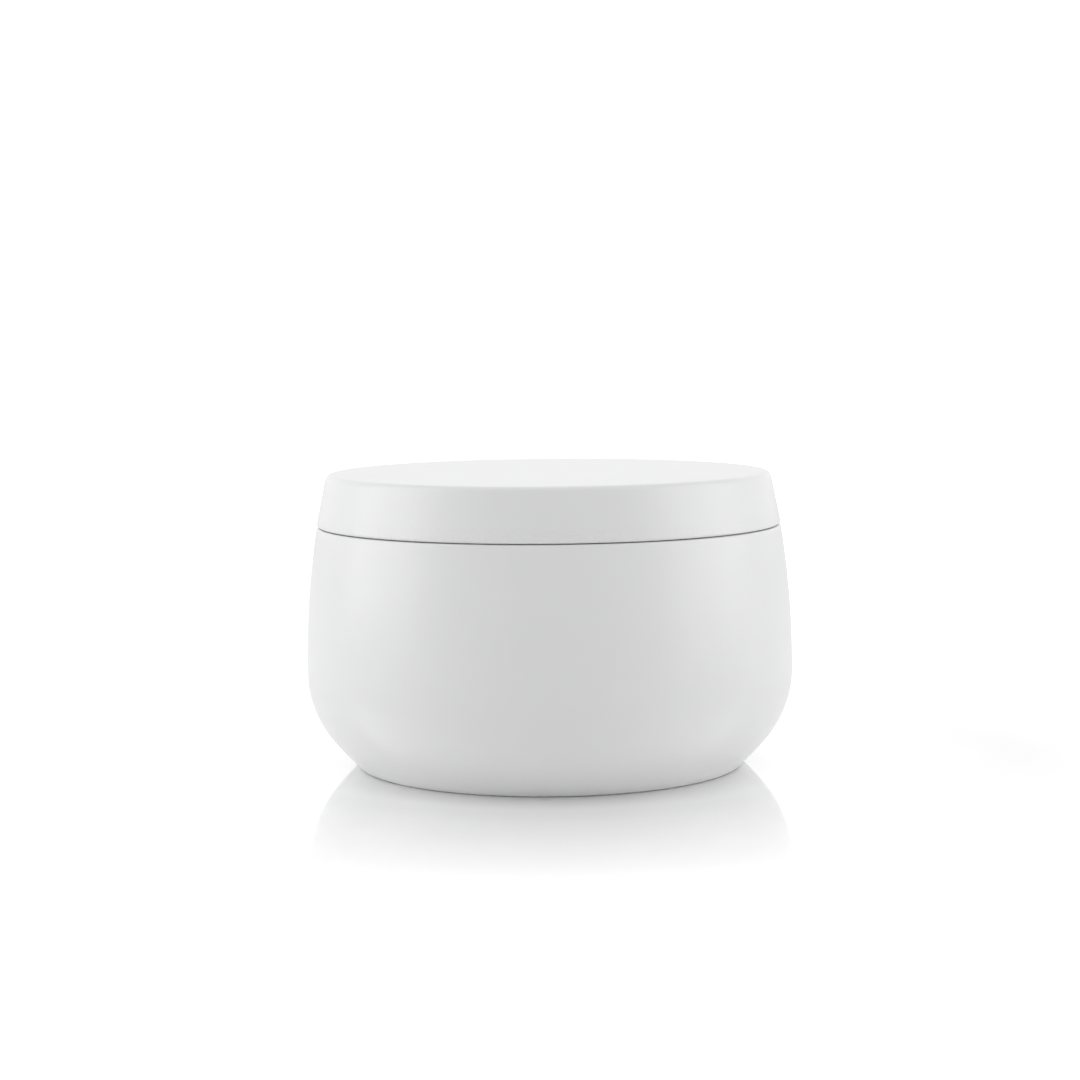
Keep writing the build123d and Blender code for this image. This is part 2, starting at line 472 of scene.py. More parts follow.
def scaled_place(group, entry, size):
    """Object coordinates divided by the group's input called size."""
    place = add(group, "TexCoord", (-900, 200))
    per_metre = add(group, "Math", (-700, 0), {0: 1.0}, operation="DIVIDE")
    scaled = add(group, "VectorMath", (-500, 200), operation="SCALE")
    join(
        group,
        (entry, size, per_metre, 1),
        (place, "Object", scaled, 0),
        (per_metre, 0, scaled, "Scale"),
    )
    return scaled


def mottle_group():
    """Soft patches of a given size on object coordinates, spread between two values."""
    if "Soft Mottle" in bpy.data.node_groups:
        return bpy.data.node_groups["Soft Mottle"]
    inputs = {"Patch Size": 10 * MM, "Low": 0.0, "High": 1.0}
    group, entry, result = new_group("Soft Mottle", inputs, "Value")
    scaled = scaled_place(group, entry, "Patch Size")
    noise = add(group, "TexNoise", (-300, 200), {"Scale": 1.0, "Detail": 3.0})
    spread = add(group, "MapRange", (100, 100), {"From Min": 0.3, "From Max": 0.7})
    join(
        group,
        (scaled, 0, noise, "Vector"),
        (noise, "Fac", spread, "Value"),
        (entry, "Low", spread, "To Min"),
        (entry, "High", spread, "To Max"),
        (spread, "Result", result, "Value"),
    )
    return group


def peel_group():
    """Height of a baked coating or a cast skin: rounded cells with a finer ripple over them."""
    if "Orange Peel" in bpy.data.node_groups:
        return bpy.data.node_groups["Orange Peel"]
    inputs = {"Cell Size": 0.8 * MM, "Ripple": 0.3}
    group, entry, result = new_group("Orange Peel", inputs, "Height")
    scaled = scaled_place(group, entry, "Cell Size")
    smooth = {"Scale": 1.0, "Smoothness": 1.0}
    cells = add(group, "TexVoronoi", (-300, 300), smooth, feature="SMOOTH_F1")
    ripple = add(group, "TexNoise", (-300, 0), {"Scale": 2.6, "Detail": 2.0})
    faded = add(group, "Math", (0, 0), operation="MULTIPLY")
    total = add(group, "Math", (250, 100), operation="ADD")
    join(
        group,
        (scaled, 0, cells, "Vector"),
        (scaled, 0, ripple, "Vector"),
        (ripple, "Fac", faded, 0),
        (entry, "Ripple", faded, 1),
        (cells, "Distance", total, 0),
        (faded, 0, total, 1),
        (total, 0, result, "Height"),
    )
    return group


def hairline_group():
    """A mask of fine straight lines along X: noise squeezed across and stretched along them."""
    if "Hairlines" in bpy.data.node_groups:
        return bpy.data.node_groups["Hairlines"]
    inputs = {"Spacing": 0.3 * MM, "Stretch": 60.0, "Threshold": 0.5}
    group, entry, result = new_group("Hairlines", inputs, "Mask")
    scaled = scaled_place(group, entry, "Spacing")
    along = add(group, "Math", (-700, -150), {0: 1.0}, operation="DIVIDE")
    scale = add(group, "CombineXYZ", (-500, -100), {"Y": 1.0, "Z": 1.0})
    squeezed = add(group, "VectorMath", (-350, 200), operation="MULTIPLY")
    noise = add(group, "TexNoise", (-150, 200), {"Scale": 1.0, "Detail": 2.0})
    above = add(group, "Math", (100, 0), {1: 0.15}, operation="ADD")
    mask = add(group, "MapRange", (350, 100), interpolation_type="SMOOTHSTEP")
    join(
        group,
        (entry, "Stretch", along, 1),
        (along, 0, scale, "X"),
        (scaled, 0, squeezed, 0),
        (scale, "Vector", squeezed, 1),
        (squeezed, 0, noise, "Vector"),
        (noise, "Fac", mask, "Value"),
        (entry, "Threshold", mask, "From Min"),
        (entry, "Threshold", above, 0),
        (above, 0, mask, "From Max"),
        (mask, "Result", result, "Mask"),
    )
    return group


def use(tree, group, place, **values):
    """A node group placed in a tree. Underscores in the value names stand for spaces."""
    made = add(tree, "Group", place, node_tree=group)
    for name, value in values.items():
        made.inputs[name.replace("_", " ")].default_value = value
    return made


def new_material(name, values=None):
    """A material with only a Principled shader, whose own sockets are set, and its output."""
    material = bpy.data.materials.new(name)
    material.use_nodes = True
    tree = material.node_tree
    tree.nodes.clear()
    shader = add(tree, "BsdfPrincipled", (500, 200), values)
    out = add(tree, "OutputMaterial", (820, 200))
    join(tree, (shader, "BSDF", out, "Surface"))
    return material, tree, shader


def finish(tree, shader, shade, dullness, height, strength, distance):
    """Feed a shader's colour, roughness and, through a bump of the height, its normal.

    Each of the three sources is a node and the name or number of its output.
    """
    depth = {"Strength": strength, "Distance": distance}
    bump = add(tree, "Bump", (100, -300), depth)
    join(
        tree,
        (*shade, shader, "Base Color"),
        (*dullness, shader, "Roughness"),
        (*height, bump, "Height"),
        (bump, "Normal", shader, "Normal"),
    )


def tint(tree, colour_value, low, high, place):
    """A Mix node between a darker and a lighter shade of a colour. Its factor is left free."""
    mix = add(tree, "Mix", place, data_type="RGBA")
    mix.inputs["A"].default_value = (*(min(c * low, 1) for c in colour_value), 1)
    mix.inputs["B"].default_value = (*(min(c * high, 1) for c in colour_value), 1)
    return mix


SATIN_SPREAD = 0.01  # either way from the coat's roughness
RUB_SHADE = 0.8  # of the coat's colour, where it is rubbed
RUB_ROUGHNESS = 0.25  # added where the coat is rubbed
GLOW_START = 33 * MM  # radius on the floor, just inside the foot
FAR_GLOW_RANGE = (75 * MM, 160 * MM)  # radii on the floor


def white_coat(look):
    """Baked satin white: faint mottling, fine orange peel, and dull rubs where a mark says so."""
    if "Satin White Coat" in bpy.data.materials:
        return bpy.data.materials["Satin White Coat"]
    material, tree, shader = new_material("Satin White Coat", {"IOR": 1.5})
    patches = use(tree, mottle_group(), (-500, 300), Patch_Size=9 * MM, Low=0.0, High=1.0)
    shade = tint(tree, look.coat, 0.99, 1.0, (-200, 300))
    rub = add(tree, "Attribute", (-900, -50), attribute_name="rub")
    scuffs = use(tree, hairline_group(), (-900, -250), Spacing=0.25 * MM, Stretch=9.0, Threshold=0.5)
    worn = add(tree, "Math", (-650, -100), operation="MULTIPLY")
    dulled = add(tree, "Mix", (100, 300), data_type="RGBA")
    dulled.inputs["B"].default_value = (*(c * RUB_SHADE for c in look.coat), 1)
    low, high = look.coat_roughness - SATIN_SPREAD, look.coat_roughness + SATIN_SPREAD
    satin = use(tree, mottle_group(), (-500, 50), Patch_Size=3 * MM, Low=low, High=high)
    rougher = add(tree, "Math", (-200, 0), {1: RUB_ROUGHNESS}, operation="MULTIPLY_ADD")
    peel = use(tree, peel_group(), (-500, -350), Cell_Size=0.55 * MM, Ripple=0.3)
    join(
        tree,
        (patches, "Value", shade, "Factor"),
        (rub, "Fac", worn, 0),
        (scuffs, "Mask", worn, 1),
        (worn, 0, dulled, "Factor"),
        (shade, "Result", dulled, "A"),
        (worn, 0, rougher, 0),
        (satin, "Value", rougher, 2),
    )
    finish(tree, shader, (dulled, "Result"), (rougher, 0), (peel, "Height"), look.peel, 0.01 * MM)
    return material


def lacquered_tin(look):
    """Bright tinplate under clear lacquer, with the fine lines that the rolling mill leaves."""
    if "Lacquered Tinplate" in bpy.data.materials:
        return bpy.data.materials["Lacquered Tinplate"]
    lacquer = {"Coat Weight": 0.35, "Coat Roughness": 0.12, "Metallic": 1.0}
    material, tree, shader = new_material("Lacquered Tinplate", lacquer)
    lines = use(tree, hairline_group(), (-600, 200), Spacing=0.18 * MM, Stretch=90.0, Threshold=0.42)
    shade = tint(tree, look.tinplate, 0.9, 1.04, (-200, 300))
    dull = add(tree, "MapRange", (-200, 0), {"To Min": 0.2, "To Max": 0.34})
    join(tree, (lines, "Mask", shade, "Factor"), (lines, "Mask", dull, "Value"))
    finish(tree, shader, (shade, "Result"), (dull, "Result"), (lines, "Mask"), 0.25, 0.006 * MM)
    return material


def soy_wax(look):
    """Creamy wax that light sinks into, with faint frosting and a gently uneven skin."""
    depth = {
        "Subsurface Weight": 0.35,
        "Subsurface Radius": (1.0, 0.7, 0.4),
        "Subsurface Scale": 2.2 * MM,
        "IOR": 1.44,
    }
    material, tree, shader = new_material("Soy Wax", depth)
    clouds = use(tree, mottle_group(), (-700, 350), Patch_Size=14 * MM, Low=0.0, High=0.6)
    bloom = use(tree, mottle_group(), (-700, 150), Patch_Size=1.6 * MM, Low=0.0, High=0.4)
    frost = add(tree, "Math", (-450, 250), operation="ADD")
    shade = tint(tree, look.wax, 0.955, 1.05, (-200, 300))
    sheen = use(tree, mottle_group(), (-450, 0), Patch_Size=5 * MM, Low=0.36, High=0.5)
    skin = use(tree, peel_group(), (-450, -250), Cell_Size=2.6 * MM, Ripple=0.6)
    join(
        tree,
        (clouds, "Value", frost, 0),
        (bloom, "Value", frost, 1),
        (frost, 0, shade, "Factor"),
    )
    finish(tree, shader, (shade, "Result"), (sheen, "Value"), (skin, "Height"), 0.35, 0.03 * MM)
    return material


def waxed_cotton(look):
    """Cotton strands under a film of wax. Fibres follow the mark that runs with each strand."""
    depth = {
        "Subsurface Weight": 0.2,
        "Subsurface Radius": (1.0, 0.75, 0.5),
        "Subsurface Scale": 0.4 * MM,
        "Sheen Weight": 0.15,
    }
    material, tree, shader = new_material("Waxed Cotton", depth)
    strand_mark = add(tree, "Attribute", (-800, 100), attribute_name="fibre")
    fine = {"Scale": 1.0, "Detail": 4.0, "Roughness": 0.6}
    fibres = add(tree, "TexNoise", (-550, 100), fine)
    shade = tint(tree, look.cotton, 0.82, 1.06, (-200, 300))
    sheen = add(tree, "MapRange", (-200, 50), {"To Min": 0.42, "To Max": 0.62})
    join(
        tree,
        (strand_mark, "Vector", fibres, "Vector"),
        (fibres, "Fac", shade, "Factor"),
        (fibres, "Fac", sheen, "Value"),
    )
    finish(tree, shader, (shade, "Result"), (sheen, "Result"), (fibres, "Fac"), 0.5, 0.04 * MM)
    return material


def tab_metal(look):
    """Bare stamped tinplate of the wick tab, with press lines and dull patches."""
    material, tree, shader = new_material("Stamped Tinplate", {"Metallic": 1.0})
    lines = use(tree, hairline_group(), (-600, 200), Spacing=0.12 * MM, Stretch=40.0, Threshold=0.45)
    shade = tint(tree, look.tinplate, 0.85, 1.1, (-200, 300))
    dull = use(tree, mottle_group(), (-200, 0), Patch_Size=2 * MM, Low=0.24, High=0.42)
    join(tree, (lines, "Mask", shade, "Factor"))
    finish(tree, shader, (shade, "Result"), (dull, "Value"), (lines, "Mask"), 0.3, 0.006 * MM)
    return material


def sticker_foam(look):
    """Matte closed-cell foam: small round cells in colour and height."""
    material, tree, shader = new_material("Sticker Foam")
    cells = use(tree, peel_group(), (-600, 0), Cell_Size=0.35 * MM, Ripple=0.4)
    shade = tint(tree, look.foam, 0.86, 1.03, (-200, 300))
    dull = use(tree, mottle_group(), (-200, 50), Patch_Size=1 * MM, Low=0.7, High=0.85)
    join(tree, (cells, "Height", shade, "Factor"))
    finish(tree, shader, (shade, "Result"), (dull, "Value"), (cells, "Height"), 0.6, 0.05 * MM)
    return material


def studio_floor(stage):
    """Pale floor that is polished like a mirror round the tin and fades to plain further out.

    The polish is a smooth step of the distance from the tin's axis. The camera also sees a glow
    that takes the floor to white. It is the sum of two smooth steps of the same distance: one
    rises next to the foot, and the other where the polish fades.
    """
    sockets = {"Specular IOR Level": 0.0, "Emission Strength": 1.0}
    material, tree, shader = new_material("Studio Floor", sockets)
    place = add(tree, "TexCoord", (-700, 0))
    distance = add(tree, "VectorMath", (-500, 0), operation="LENGTH")
    away, near, far = (distance, "Value"), stage.mirror_near, stage.mirror_far
    polish = smooth_step(tree, away, (-200, 0), near, far, stage.mirror, 0.0)
    close_by = smooth_step(tree, away, (-200, -500), GLOW_START, near, 0.0, stage.near_glow)
    far_out = smooth_step(tree, away, (-200, -750), *FAR_GLOW_RANGE, 0.0, stage.far_glow)
    both = add(tree, "Math", (0, -600), operation="ADD")
    path = add(tree, "LightPath", (0, -800))
    glow = add(tree, "Math", (200, -600), operation="MULTIPLY")
    gloss = use(tree, mottle_group(), (-200, -300), Patch_Size=60 * MM, Low=0.015, High=0.03)
    shade = tint(tree, stage.floor_colour, 0.997, 1.0, (-200, 300))
    join(
        tree,
        (place, "Object", distance, 0),
        (polish, "Result", shader, "Metallic"),
        (close_by, "Result", both, 0),
        (far_out, "Result", both, 1),
        (both, 0, glow, 0),
        (path, "Is Camera Ray", glow, 1),
        (glow, 0, shader, "Emission Color"),
        (gloss, "Value", shader, "Roughness"),
        (gloss, "Value", shade, "Factor"),
        (shade, "Result", shader, "Base Color"),
    )
    return material


# Pieces


def turned_sheet(name, line, left, plate, sheet_side, coats, rub):
    """One drawn sheet turned about the axis, coated on one side and bare on the other.

    coats are the materials of its outside and inside. rub is how much each point of the outside
    line is rubbed, from 0 to 1.
    """
    loop, source = sheet_loop(line, left, plate, sheet_side)
    row = np.arange(len(loop))
    outside = row < len(line) if sheet_side > 0 else row >= len(loop) - len(line)
    points, faces, face_rows, point_rows = grid_mesh(lathe(loop, 256), closed=False)
    both = outside & np.append(outside[1:], outside[-1])
    mark = np.where(source >= 0, rub[source], rub[-1])[point_rows]
    return build_piece(
        name,
        points,
        faces,
        coats,
        face_materials=np.where(both[face_rows], 0, 1),
        marks={"rub": ("FLOAT", "value", mark)},
    )


class CANDLETIN_OT_draw_body(bpy.types.Operator):
    """Draw the tin's bowl, shoulder, neck and curl from one sheet"""

    bl_idname = "candle_tin.draw_body"
    bl_label = "Draw Body"

    def execute(self, context):
        p, look = context.scene.candle_tin_body, context.scene.candle_tin_finish
        line, left, move = body_line(p)
        foot_ring, ledge, neck, curl = 3, 9, 11, 12
        rubbed = {foot_ring: 0.5, ledge: 0.3, neck: 0.35, curl: 0.6}
        rub = softened(np.array([rubbed.get(n, 0.0) for n in move]), 2)
        coats = (white_coat(look), lacquered_tin(look))
        piece = turned_sheet("drawn_body", line, left, p.plate, 1, coats, rub)
        install(piece, "tin", "tin_body")
        return {"FINISHED"}


class CANDLETIN_OT_draw_lid(bpy.types.Operator):
    """Draw the lid's top, crown, skirt and folded hem from one sheet"""

    bl_idname = "candle_tin.draw_lid"
    bl_label = "Draw Lid"

    def execute(self, context):
        p, look = context.scene.candle_tin_lid, context.scene.candle_tin_finish
        line, left, move = lid_line(p)
        hem_fold = 3
        rub = softened(np.where(move == hem_fold, 0.3, 0.0), 1)
        coats = (white_coat(look), lacquered_tin(look))
        piece = turned_sheet("drawn_lid", line, left, p.plate, -1, coats, rub)
        install(piece, "lid", "lid")
        return {"FINISHED"}


TAB_EASE = 0.1 * MM  # rounding of the tab's edge


def wax_rows(body, p, level):
    """Half length, half width and height of each slot outline round the wax's closed section.

    The section follows the tin's wall at the shrinkage gap, climbs at the wall as a quarter of
    a parabola, runs in to the wick with a shallow Gaussian sink, climbs the wick as an
    exponential, and comes back down round the wick, the tab and the sticker.
    """
    inset = body.plate + p.wall_gap
    tip = level + p.meniscus_rise
    moves = bowl_moves(body, lambda arc: asin((tip - body.belly_height) / (arc - inset)))
    line, left, _ = walk((0, body.panel_rise), moves)
    wall = line + inset * left
    wall = wall[wall[:, 0] > STICKER_TOP.x]
    edge = wall[-1, 0]
    half_length, half_width = p.wick_width / 2, p.wick_thickness / 2
    meniscus = edge - p.meniscus_run * np.linspace(0, 1, 9)[1:]
    level_part = np.linspace(36 * MM, 4 * MM, 18)
    near_wick = np.linspace(2.2 * MM, 0, 12)
    out = np.concatenate([meniscus - half_length, level_part - half_length, near_wick])
    sink_reach, cling_reach, round_reach = 11 * MM, 0.5 * MM, 9 * MM
    rise = p.meniscus_rise * np.clip(1 - (edge - half_length - out) / p.meniscus_run, 0, 1) ** 2
    dip = p.sink * np.exp(-((out / sink_reach) ** 2))
    cling = p.wick_climb * np.exp(-out / cling_reach)
    top_z = level + rise - dip + cling
    blend = np.clip(out / round_reach, 0, 1)
    top_a = half_length + out
    top_b = half_width + out + (half_length - half_width) * blend
    rows = [np.stack([wall[:, 0], wall[:, 0], wall[:, 1]], 1), np.stack([top_a, top_b, top_z], 1)]
    collar_a, collar_b = half_length + p.collar_wall, half_width + p.collar_wall
    flare_z = TAB_FOOT.z + p.collar_foot_height
    tab_top = TAB_FOOT.z + p.collar_wall
    foot = p.collar_foot_radius
    tab_r, sticker_r, ease, play = TAB_TOP.x, STICKER_TOP.x, TAB_EASE, 0.02 * MM
    pocket = [
        (half_length, half_width, TAB_TOP.z + 10 * play),
        (half_length + play, half_width + play, TAB_TOP.z),
        (collar_a, collar_b, TAB_TOP.z),
        (collar_a, collar_b, flare_z),
        (foot, foot, tab_top),
        (tab_r - ease, tab_r - ease, tab_top),
        (tab_r, tab_r, tab_top - ease),
        (tab_r, tab_r, TAB_FOOT.z + ease),
        (tab_r - ease, tab_r - ease, TAB_FOOT.z),
        (sticker_r, sticker_r, TAB_FOOT.z),
        (sticker_r, sticker_r, body.panel_rise + inset),
    ]
    rows.append(np.array(pocket))
    return np.concatenate(rows)


class CANDLETIN_OT_pour_wax(bpy.types.Operator):
    """Pour the wax to its level, round the wick, the tab and the sticker"""

    bl_idname = "candle_tin.pour_wax"
    bl_label = "Pour Wax"

    def execute(self, context):
        scene = context.scene
        body, p = scene.candle_tin_body, scene.candle_tin_candle
        rows = wax_rows(body, p, WAX_TOP.z - p.meniscus_rise)
        grid = rings(rows[:, 0], rows[:, 1], rows[:, 2], 192)
        points, faces, _, _ = grid_mesh(grid, closed=True)
        piece = build_piece("poured_wax", points, faces, [soy_wax(scene.candle_tin_finish)])
        install(piece, "tin", "wax")
        return {"FINISHED"}


def wick_centre(p, along):
    """Centre line of the wick and its sideways direction at each distance from its foot.

    It is upright, then an arc about a centre lean_radius to the side: x = R (1 - cos a) and
    z = z0 + R sin a, where a is the distance past the upright part over R.
    """
    upright = wick_length(p) - p.lean_length
    angle = np.maximum(along - upright, 0) / p.lean_radius
    x = p.lean_radius * (1 - np.cos(angle))
    z = TAB_FOOT.z + np.minimum(along, upright) + p.lean_radius * np.sin(angle)
    zero = np.zeros_like(angle)
    return np.stack([x, zero, z], 1), np.stack([np.cos(angle), zero, -np.sin(angle)], 1)


def wick_length(p):
    """Length of the wick from its foot, so that its leaning end reaches the CAD wick's top."""
    lean = p.lean_length / p.lean_radius
    top_centre = WICK_TOP.z - p.wick_width / 2 * sin(lean)
    return top_centre - TAB_FOOT.z - p.lean_radius * sin(lean) + p.lean_length


def strand(p, phase):
    """One strand of a flat three-strand braid, as a closed tube.

    Across the braid it swings as sin q and through it as sin 2q, where q goes round once in
    each pitch, so that strands a third of a turn apart pass over and under in turn. Its section
    is an ellipse that is wide in the plane of the braid, and the size of its cos 2.5(a - twist)
    makes five yarns on it. Returns the grid and the fibre coordinates.
    """
    total = wick_length(p)
    close = 0.35 * MM  # length in which an end closes
    ends = np.array([0.02, 0.3, 0.65, 0.9]) * close
    middle = np.linspace(close, total - close, 420)
    s = np.concatenate([[0], ends, middle, total - ends[::-1], [total]])
    wide, thick = p.wick_width * 0.21, p.wick_thickness * 0.27
    yarn_rise, yarn_turn, fibre_length = 0.08, 3.1 * MM, 1.2 * MM
    swing = p.wick_width / 2 - wide * (1 + yarn_rise)
    weave = p.wick_thickness / 2 - thick * (1 + yarn_rise)
    q = 2 * pi * s / p.braid_pitch + phase
    centre, side = wick_centre(p, s)
    flat = np.array([0.0, 1.0, 0.0])
    path = centre + swing * np.sin(q)[:, None] * side + weave * np.sin(2 * q)[:, None] * flat
    ahead = np.gradient(path, axis=0)
    ahead /= np.linalg.norm(ahead, axis=1)[:, None]
    through = flat - (ahead @ flat)[:, None] * ahead
    through /= np.linalg.norm(through, axis=1)[:, None]
    across = np.cross(through, ahead)
    taper = np.sqrt(1 - (1 - np.clip(np.minimum(s, total - s) / close, 0, 1)) ** 2)
    a = np.arange(20) * 2 * pi / 20
    around = a - (2 * pi * s / yarn_turn)[:, None]
    yarn = 1 + yarn_rise * np.abs(np.cos(2.5 * around))
    along, over = np.cos(a)[:, None], np.sin(a)[:, None]
    oval = wide * along * across[:, None] + thick * over * through[:, None]
    ring = (taper[:, None] * yarn)[..., None] * oval
    tall = np.broadcast_to(s[:, None] / fibre_length, around.shape)
    fibre = np.stack([9 * np.cos(around), 9 * np.sin(around), tall + phase * 7], 2)
    return path[:, None] + ring, fibre


class CANDLETIN_OT_braid_wick(bpy.types.Operator):
    """Braid the wick from three strands of twisted yarn"""

    bl_idname = "candle_tin.braid_wick"
    bl_label = "Braid Wick"

    def execute(self, context):
        p, look = context.scene.candle_tin_candle, context.scene.candle_tin_finish
        points, faces, fibres = [], [], []
        for number in range(3):
            grid, fibre = strand(p, 2 * pi * number / 3)
            start = sum(len(part) for part in points)
            ring, ring_faces, _, _ = grid_mesh(grid, closed=False)
            points.append(ring)
            faces += [[corner + start for corner in face] for face in ring_faces]
            fibres.append(np.concatenate([fibre[0, :1], fibre[1:-1].reshape(-1, 3), fibre[-1, :1]]))
        piece = build_piece(
            "braided_wick",
            np.concatenate(points),
            faces,
            [waxed_cotton(look)],
            marks={"fibre": ("FLOAT_VECTOR", "vector", np.concatenate(fibres))},
        )
        install(piece, "tin", "wick")
        return {"FINISHED"}


def tab_rows(p):
    """Half length, half width and height of each outline round the tab's closed section.

    It is a disc with a rolled bead, whose middle flares up into a collar that two crimps have
    bitten into. The bead is raised as a Gaussian of the radius and each crimp is one of height.
    """
    foot_z, top_z, wall, ease = TAB_FOOT.z, TAB_TOP.z, p.collar_wall, TAB_EASE
    bore_a, bore_b = p.wick_width / 2, p.wick_thickness / 2
    flare_z = foot_z + p.collar_foot_height
    bead_radius, bead_width, bead_rise = 6.6 * MM, 0.7 * MM, 0.16 * MM
    under_r = np.linspace(p.collar_foot_radius - ease, TAB_TOP.x - ease, 14)
    bead = bead_rise * np.exp(-(((under_r - bead_radius) / bead_width) ** 2))
    rim = radians(90) * np.linspace(-1, 1, 5)
    rim_r = TAB_TOP.x - ease + ease * np.cos(rim)
    rim_z = foot_z + wall / 2 + np.sin(rim) * wall / 2
    crimp_place, crimp_width, crimp_bite, crimp_bulge = 0.8 * MM, 0.32 * MM, 0.15 * MM, 0.04 * MM
    collar_z = np.linspace(flare_z, top_z - 0.08 * MM, 28)
    from_crimp = (collar_z - (flare_z + top_z) / 2)[:, None] + [-crimp_place, crimp_place]
    bite = np.exp(-((from_crimp / crimp_width) ** 2)).sum(1)
    collar_a, collar_b = bore_a + wall + crimp_bulge * bite, bore_b + wall - crimp_bite * bite
    lip = np.array([0.7, 0.2]) * wall
    bore_z = [top_z - ease, flare_z, foot_z + ease]
    parts = [
        ([bore_a, bore_a, 2.7 * MM], [bore_b, bore_b, 2.7 * MM], bore_z),
        (under_r, under_r, foot_z + bead),
        (rim_r, rim_r, rim_z),
        (under_r[::-1], under_r[::-1], foot_z + wall + bead[::-1]),
        (collar_a, collar_b, collar_z),
        (bore_a + lip, bore_b + lip, [top_z, top_z]),
    ]
    return np.concatenate([np.array(part, float).T for part in parts])


class CANDLETIN_OT_fix_tab(bpy.types.Operator):
    """Stamp and crimp the wick tab, and cut the foam sticker under it"""

    bl_idname = "candle_tin.fix_tab"
    bl_label = "Fix Tab and Sticker"

    def execute(self, context):
        p, look = context.scene.candle_tin_candle, context.scene.candle_tin_finish
        rows = tab_rows(p)
        grid = rings(rows[:, 0], rows[:, 1], rows[:, 2], 96)
        points, faces, _, _ = grid_mesh(grid, closed=True)
        tab = build_piece("crimped_tab", points, faces, [tab_metal(look)])
        install(tab, "tin", "wick_tab")
        radius, low, high, ease = STICKER_TOP.x, STICKER_FOOT.z, STICKER_TOP.z, 0.06 * MM
        inner = np.linspace(0, radius - ease, 7)
        section = [(r, low) for r in inner] + [(radius, low + ease), (radius, high - ease)]
        section += [(r, high) for r in inner[::-1]]
        points, faces, _, _ = grid_mesh(lathe(np.array(section), 96), closed=False)
        sticker = build_piece("foam_disc", points, faces, [sticker_foam(look)])
        install(sticker, "tin", "wick_sticker")
        return {"FINISHED"}


# Studio


def lay_floor(stage):
    """A flat square floor under the tin."""
    half = stage.floor_size / 2
    points = np.array([[-half, -half, 0], [half, -half, 0], [half, half, 0], [-half, half, 0]])
    floor = build_piece("studio_floor", points, [[0, 1, 2, 3]], [studio_floor(stage)])


SOFTBOX_REACH = 0.8  # metres from the tin's middle
SOFTBOX_RISE = radians(20)
SOFTBOX_SIZE = (0.7, 0.9)
TIN_MIDDLE = Vector((0, 0, 30 * MM))
PLAIN_WHITE = 1.1  # strength of the tent where it is seen
BACKDROP_FALL = (0.1, 0.7)  # heights of the direction, from 0 level to 1 overhead
TOP_RISE = (0.3, 1.0)


def hang_softbox(name, bearing, power):
    """An area light aimed at the tin's middle. The camera sees past it.

    bearing is measured from the front, -Y, towards +X, and the rise from the floor.
    """
    lamp = bpy.data.lights.new(name, "AREA")
    lamp.shape = "RECTANGLE"
    lamp.size, lamp.size_y = SOFTBOX_SIZE
    lamp.energy = power
    light = bpy.data.objects.new(name, lamp)
    level = cos(SOFTBOX_RISE)
    outward = Vector((sin(bearing) * level, -cos(bearing) * level, sin(SOFTBOX_RISE)))
    light.location = TIN_MIDDLE + SOFTBOX_REACH * outward
    light.rotation_euler = (-outward).to_track_quat("-Z", "Y").to_euler()
    light.visible_camera = False
    bpy.context.scene.collection.objects.link(light)


def light_tent(stage):
    """A pale tent all round, brighter overhead and on its backdrop.

    The light it gives is a level, plus a smooth step with height, plus a smooth step towards +Y
    times a smooth fall with height. Seen directly, or in a polished surface, the tent is plain
    white.
    """
    world = bpy.data.worlds.new("Light Tent")
    bpy.context.scene.world = world
    world.use_nodes = True
    tree = world.node_tree
    tree.nodes.clear()
    out = add(tree, "OutputWorld", (900, 0))
    white = add(tree, "Background", (450, 200), {"Color": (1, 1, 1, 1), "Strength": PLAIN_WHITE})
    tent = add(tree, "Background", (450, 0), {"Color": (1, 1, 1, 1)})
    place = add(tree, "TexCoord", (-900, 0))
    axes = add(tree, "SeparateXYZ", (-700, 0))
    back, up, bright = (axes, "Y"), (axes, "Z"), stage.tent + stage.tent_top
    behind = smooth_step(tree, back, (-450, 150), 0.0, 1.0, 0.0, stage.tent_back)
    low = smooth_step(tree, up, (-450, -150), *BACKDROP_FALL, 1.0, stage.tent_fall)
    high = smooth_step(tree, up, (-450, -450), *TOP_RISE, stage.tent, bright)
    total = add(tree, "Math", (-150, 0), operation="MULTIPLY_ADD")
    path = add(tree, "LightPath", (-150, 500))
    seen = add(tree, "Math", (150, 400), operation="MAXIMUM")
    choose = add(tree, "MixShader", (700, 0))
    join(
        tree,
        (place, "Generated", axes, "Vector"),
        (behind, "Result", total, 0),
        (low, "Result", total, 1),
        (high, "Result", total, 2),
        (total, 0, tent, "Strength"),
        (path, "Is Camera Ray", seen, 0),
        (path, "Is Glossy Ray", seen, 1),
        (seen, 0, choose, 0),
        (tent, 0, choose, 1),
        (white, 0, choose, 2),
        (choose, 0, out, "Surface"),
    )


def place_camera(stage):
    """The camera in front of the tin, tilted down and leaning a little to its right."""
    data = bpy.data.cameras.new("studio_camera")
    data.lens = stage.lens
    data.sensor_width = 36.0
    data.clip_start = 0.01
    camera = bpy.data.objects.new("studio_camera", data)
    place = Matrix.Translation((-stage.camera_side, -stage.camera_distance, stage.camera_height))
    tilt = Matrix.Rotation(pi / 2 - stage.camera_pitch, 4, "X")
    roll = Matrix.Rotation(-stage.camera_roll, 4, "Z")
    camera.matrix_world = place @ tilt @ roll
    bpy.context.scene.collection.objects.link(camera)
    bpy.context.scene.camera = camera


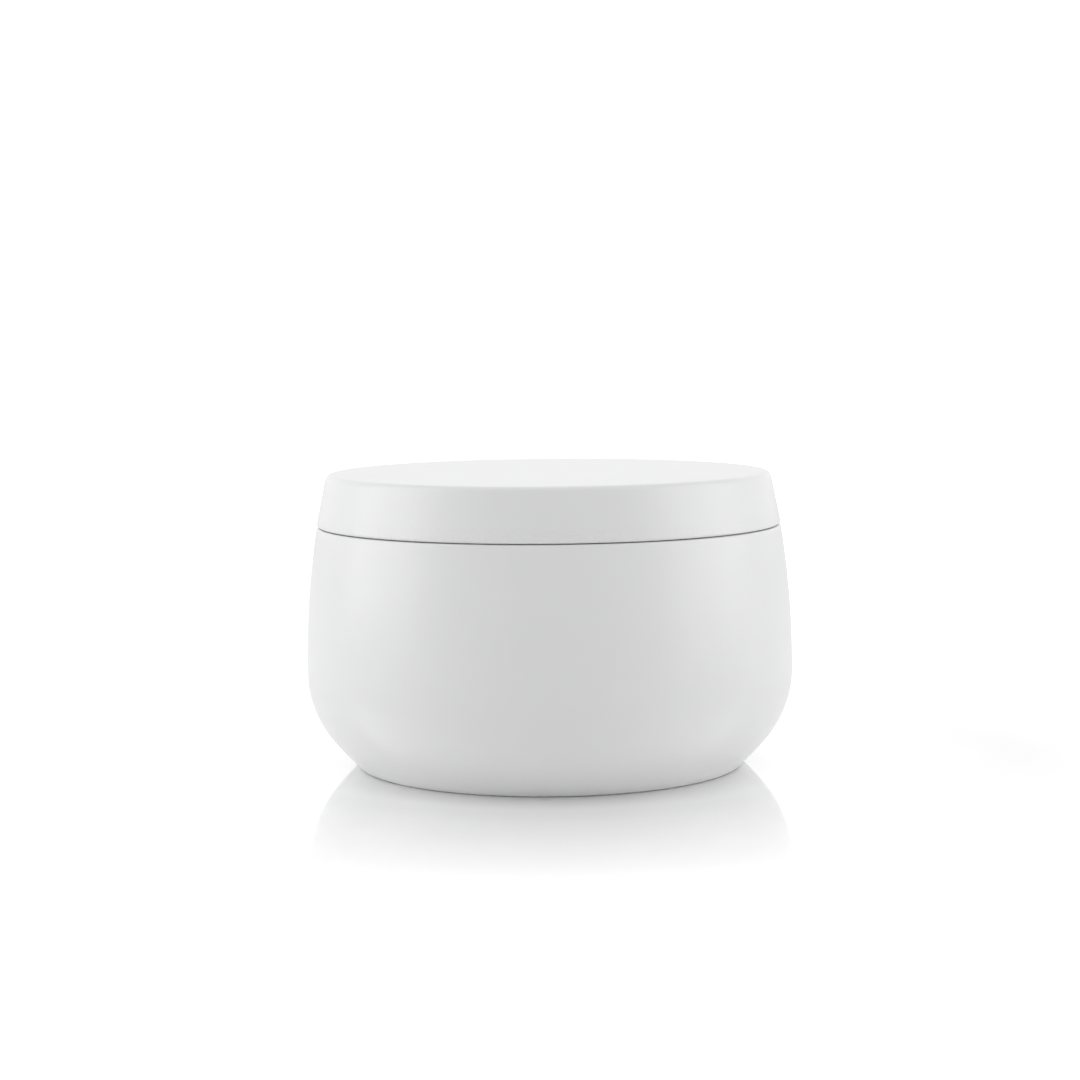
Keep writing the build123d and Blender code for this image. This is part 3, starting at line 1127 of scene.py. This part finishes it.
class CANDLETIN_OT_set_studio(bpy.types.Operator):
    """Lay the floor, hang the lights and place the camera"""

    bl_idname = "candle_tin.set_studio"
    bl_label = "Set Studio"

    def execute(self, context):
        stage = context.scene.candle_tin_studio
        lay_floor(stage)
        light_tent(stage)
        hang_softbox("softbox_left", radians(-85), stage.left_power)
        hang_softbox("softbox_right", radians(82), stage.right_power)
        place_camera(stage)
        context.scene.view_settings.view_transform = "Standard"
        return {"FINISHED"}


class CANDLETIN_PT_sidebar(bpy.types.Panel):
    """Lists the tin's steps and sizes in the 3D view's sidebar"""

    bl_label = "Candle Tin"
    bl_space_type = "VIEW_3D"
    bl_region_type = "UI"
    bl_category = "Candle Tin"

    def draw(self, context):
        for operator in OPERATORS:
            self.layout.operator(operator.bl_idname)
        for holder, group in GROUPS.items():
            box = self.layout.box()
            for name in group.__annotations__:
                box.prop(getattr(context.scene, holder), name)


OPERATORS = (
    CANDLETIN_OT_draw_body,
    CANDLETIN_OT_draw_lid,
    CANDLETIN_OT_pour_wax,
    CANDLETIN_OT_braid_wick,
    CANDLETIN_OT_fix_tab,
    CANDLETIN_OT_set_studio,
)
GROUPS = {
    "candle_tin_body": CandleTinBody,
    "candle_tin_lid": CandleTinLid,
    "candle_tin_candle": CandleTinCandle,
    "candle_tin_finish": CandleTinFinish,
    "candle_tin_studio": CandleTinStudio,
}


def register():
    for holder, group in GROUPS.items():
        bpy.utils.register_class(group)
        setattr(bpy.types.Scene, holder, PointerProperty(type=group))
    for made in (*OPERATORS, CANDLETIN_PT_sidebar):
        bpy.utils.register_class(made)


def unregister():
    for made in reversed((*OPERATORS, CANDLETIN_PT_sidebar)):
        bpy.utils.unregister_class(made)
    for holder, group in reversed(GROUPS.items()):
        delattr(bpy.types.Scene, holder)
        bpy.utils.unregister_class(group)


def main():
    register()
    bpy.ops.candle_tin.draw_body()
    bpy.ops.candle_tin.draw_lid()
    bpy.ops.candle_tin.pour_wax()
    bpy.ops.candle_tin.braid_wick()
    bpy.ops.candle_tin.fix_tab()
    bpy.ops.candle_tin.set_studio()


if __name__ == "__main__":
    main()
